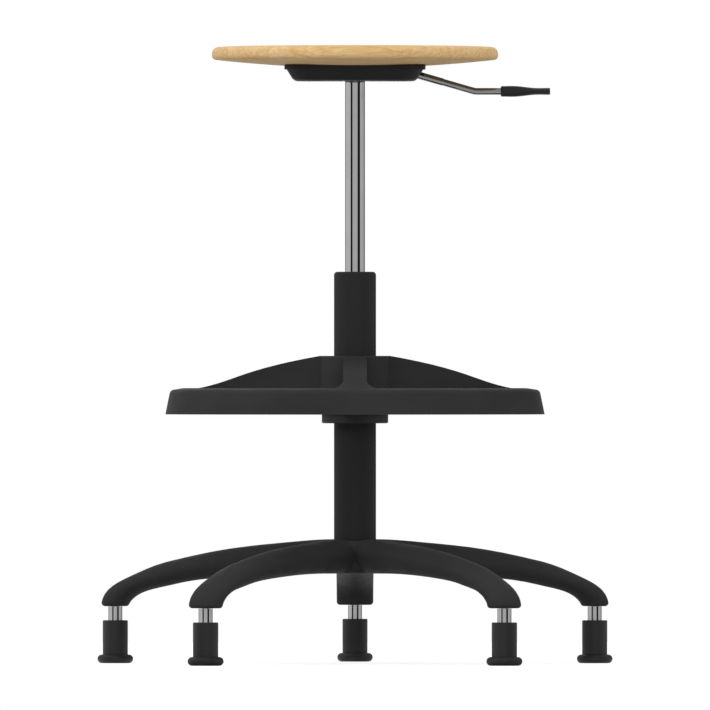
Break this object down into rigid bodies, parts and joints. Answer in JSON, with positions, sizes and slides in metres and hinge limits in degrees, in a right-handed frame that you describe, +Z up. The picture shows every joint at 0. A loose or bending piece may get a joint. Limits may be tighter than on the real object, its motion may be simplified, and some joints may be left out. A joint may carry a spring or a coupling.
{
  "type": "swivel stool",
  "caption": "Round wooden work stool that turns and rises on a gas spring, with a bent release lever, a spoked foot ring on the column and a star base on high glides.",
  "frame": {"origin": "on the floor, under the column's axis", "axes": "+Z up, -Y towards the front (one spoke of the foot ring points there), +X towards the lever"},
  "size_m": [0.6132, 0.5853, 0.7337],
  "materials": {
    "oak_wood": "lacquered solid oak",
    "black_moulding": "fine-grained black nylon",
    "collet_plastic": "smooth black nylon",
    "glide_plastic": "smooth black plastic",
    "grip_plastic": "satin black plastic",
    "bush_plastic": "turned black acetal",
    "column_coating": "black powder coat",
    "plate_coating": "black powder coat",
    "chrome": "polished chrome plate",
    "bright_steel": "bright zinc-plated steel",
    "insert_brass": "turned brass",
    "buffer_rubber": "black rubber"
  },
  "bodies": {
    "base": {"star_base": "black_moulding", "column_tube": "column_coating", "guide_bush": "bush_plastic", "column_bottom_plate": "bright_steel", "bearing_lower_washer": "bright_steel"},
    "bearing_cage": {"bearing_cage": "bush_plastic", "bearing_balls": "bright_steel"},
    "spring_rod": {"piston_rod": "chrome", "piston": "bright_steel", "retaining_clip": "bright_steel", "bump_stop": "buffer_rubber", "bearing_upper_washer": "bright_steel"},
    "seat": {"gas_cylinder": "chrome", "cylinder_end_guide": "bush_plastic", "valve_body": "bush_plastic", "taper_socket": "bright_steel", "seat_plate": "plate_coating", "seat_board": "oak_wood", "seat_inserts": "insert_brass", "seat_screws": "bright_steel", "lever_bracket": "bright_steel", "lever_pivot_pin": "bright_steel"},
    "lever": {"release_lever": "chrome", "lever_grip": "grip_plastic"},
    "button": {"release_button": "bright_steel"},
    "footrest_clamp": {"clamp_collet": "collet_plastic"},
    "footrest": {"footrest_ring": "black_moulding"},
    "glide_1": {"glide_body_1": "glide_plastic", "glide_stem_1": "chrome", "glide_grip_ring_1": "bright_steel"},
    "glide_2": {"glide_body_2": "glide_plastic", "glide_stem_2": "chrome", "glide_grip_ring_2": "bright_steel"},
    "glide_3": {"glide_body_3": "glide_plastic", "glide_stem_3": "chrome", "glide_grip_ring_3": "bright_steel"},
    "glide_4": {"glide_body_4": "glide_plastic", "glide_stem_4": "chrome", "glide_grip_ring_4": "bright_steel"},
    "glide_5": {"glide_body_5": "glide_plastic", "glide_stem_5": "chrome", "glide_grip_ring_5": "bright_steel"}
  },
  "joints": [
    {"name": "seat_swivel", "type": "hinge", "parent": "base", "child": "spring_rod", "pos_m": [0, 0, 0.123], "axis": [0, 0, 1], "continuous": true},
    {"name": "bearing_cage_turn", "type": "hinge", "parent": "base", "child": "bearing_cage", "pos_m": [0, 0, 0.1185], "axis": [0, 0, 1], "continuous": true},
    {"name": "seat_lift", "type": "slide", "parent": "spring_rod", "child": "seat", "axis": [0, 0, 1], "range_m": [-0.215, 0]},
    {"name": "lever_tilt", "type": "hinge", "parent": "seat", "child": "lever", "pos_m": [0.05, 0, 0.70649], "axis": [0, -1, 0], "range_deg": [0, 4.4], "stiffness_Nm_per_rad": 6},
    {"name": "button_press", "type": "slide", "parent": "seat", "child": "button", "axis": [0, 0, -1], "range_m": [0, 0.004]},
    {"name": "footrest_height", "type": "slide", "parent": "base", "child": "footrest_clamp", "axis": [0, 0, 1], "range_m": [-0.12, 0.085]},
    {"name": "footrest_turn", "type": "hinge", "parent": "footrest_clamp", "child": "footrest", "pos_m": [0, 0, 0.33], "axis": [0, 0, 1], "range_deg": [0, 90]},
    {"name": "glide_1_swivel", "type": "hinge", "parent": "base", "child": "glide_1", "pos_m": [0, 0.3, 0.0678], "axis": [0, 0, 1], "continuous": true},
    {"name": "glide_2_swivel", "type": "hinge", "parent": "base", "child": "glide_2", "pos_m": [-0.28532, 0.09271, 0.0678], "axis": [0, 0, 1], "continuous": true},
    {"name": "glide_3_swivel", "type": "hinge", "parent": "base", "child": "glide_3", "pos_m": [-0.17634, -0.24271, 0.0678], "axis": [0, 0, 1], "continuous": true},
    {"name": "glide_4_swivel", "type": "hinge", "parent": "base", "child": "glide_4", "pos_m": [0.17634, -0.24271, 0.0678], "axis": [0, 0, 1], "continuous": true},
    {"name": "glide_5_swivel", "type": "hinge", "parent": "base", "child": "glide_5", "pos_m": [0.28532, 0.09271, 0.0678], "axis": [0, 0, 1], "continuous": true}
  ],
  "couplings": [
    {"joint": "bearing_cage_turn", "follows": "seat_swivel", "ratio": 0.5},
    {"joint": "button_press", "follows": "lever_tilt", "m_per_rad": 0.05}
  ]
}
